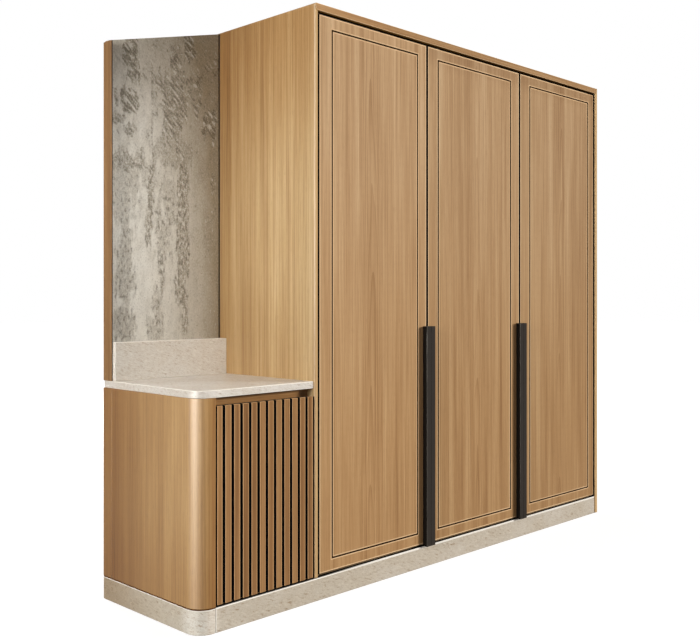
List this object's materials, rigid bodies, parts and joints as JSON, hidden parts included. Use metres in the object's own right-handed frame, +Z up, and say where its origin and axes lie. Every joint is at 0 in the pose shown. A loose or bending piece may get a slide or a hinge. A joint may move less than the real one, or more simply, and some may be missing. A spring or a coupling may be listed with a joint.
{
  "type": "hotel wardrobe",
  "caption": "Oak hotel wardrobe with inset hinged doors, black bar handles and a stone plinth, and at its left a counter niche over a slatted base cabinet with a rounded corner.",
  "frame": {"origin": "middle of the bounding box on the floor", "axes": "+X to the right along the front, +Y to the wall behind, +Z up; the front looks to -Y"},
  "size_m": [2.648, 0.635, 2.3],
  "materials": {
    "oak_veneer": "satin lacquered oak veneer, vertical grain",
    "oak_light": "satin lacquered oak veneer, lighter",
    "oak_dark": "stained oak in the finger recess",
    "carcass_board": "oak-look laminated board",
    "plain_board": "bare fibreboard",
    "stone": "honed beige stone with fine speckle",
    "plaster": "matt distressed plaster finish",
    "black_metal": "black anodised aluminium",
    "black_board": "black stained board",
    "steel": "nickel plated steel",
    "chrome": "chrome plated tube"
  },
  "bodies": {
    "carcass": {"plinth_corner": "stone", "plinth_front": "stone", "base_rail_front": "plain_board", "base_rail_rear": "plain_board", "base_cross_left": "plain_board", "base_cross_middle": "plain_board", "wardrobe_left_side": "oak_light", "wardrobe_right_side": "oak_light", "wardrobe_top": "oak_veneer", "wardrobe_deck": "carcass_board", "wardrobe_back": "plain_board", "wardrobe_partition": "carcass_board", "hat_shelf": "carcass_board", "right_shelf_lower": "carcass_board", "right_shelf_upper": "carcass_board", "rail_socket_left": "chrome", "rail_socket_right": "chrome", "hanging_rail": "chrome", "cabinet_side_curved": "oak_veneer", "cabinet_inner_side": "carcass_board", "cabinet_deck": "carcass_board", "cabinet_back": "plain_board", "cabinet_shelf": "carcass_board", "finger_rail": "oak_dark", "countertop": "stone", "niche_edge_strip": "oak_light", "upstand": "stone", "plaster_panel": "plaster", "niche_back_board": "plain_board", "hinge_arm_left_bottom": "steel", "hinge_arm_left_middle": "steel", "hinge_arm_left_top": "steel", "hinge_arm_middle_bottom": "steel", "hinge_arm_middle_middle": "steel", "hinge_arm_middle_top": "steel", "hinge_arm_right_bottom": "steel", "hinge_arm_right_middle": "steel", "hinge_arm_right_top": "steel", "hinge_arm_slat_bottom": "steel", "hinge_arm_slat_top": "steel"},
    "left_door": {"door_left": "oak_veneer", "handle_left_outer": "black_metal", "hinge_cup_left_bottom": "steel", "hinge_cup_left_middle": "steel", "hinge_cup_left_top": "steel"},
    "middle_door": {"door_middle": "oak_veneer", "handle_left_inner": "black_metal", "handle_right_inner": "black_metal", "hinge_cup_middle_bottom": "steel", "hinge_cup_middle_middle": "steel", "hinge_cup_middle_top": "steel"},
    "right_door": {"door_right": "oak_veneer", "handle_right_outer": "black_metal", "hinge_cup_right_bottom": "steel", "hinge_cup_right_middle": "steel", "hinge_cup_right_top": "steel"},
    "slat_door": {"slat_screen": "oak_veneer", "slat_door_board": "black_board", "hinge_cup_slat_bottom": "steel", "hinge_cup_slat_top": "steel"}
  },
  "joints": [
    {"name": "left_door_hinge", "type": "hinge", "parent": "carcass", "child": "left_door", "pos_m": [-0.75525, -0.2985, 1.18], "axis": [0, 0, -1], "range_deg": [0, 100]},
    {"name": "middle_door_hinge", "type": "hinge", "parent": "carcass", "child": "middle_door", "pos_m": [0.597, -0.318, 1.18], "axis": [0, 0, 1], "range_deg": [0, 95]},
    {"name": "right_door_hinge", "type": "hinge", "parent": "carcass", "child": "right_door", "pos_m": [1.30025, -0.2985, 1.18], "axis": [0, 0, 1], "range_deg": [0, 100]},
    {"name": "slat_door_hinge", "type": "hinge", "parent": "carcass", "child": "slat_door", "pos_m": [-1.24655, -0.2985, 0.44], "axis": [0, 0, -1], "range_deg": [0, 100]}
  ]
}
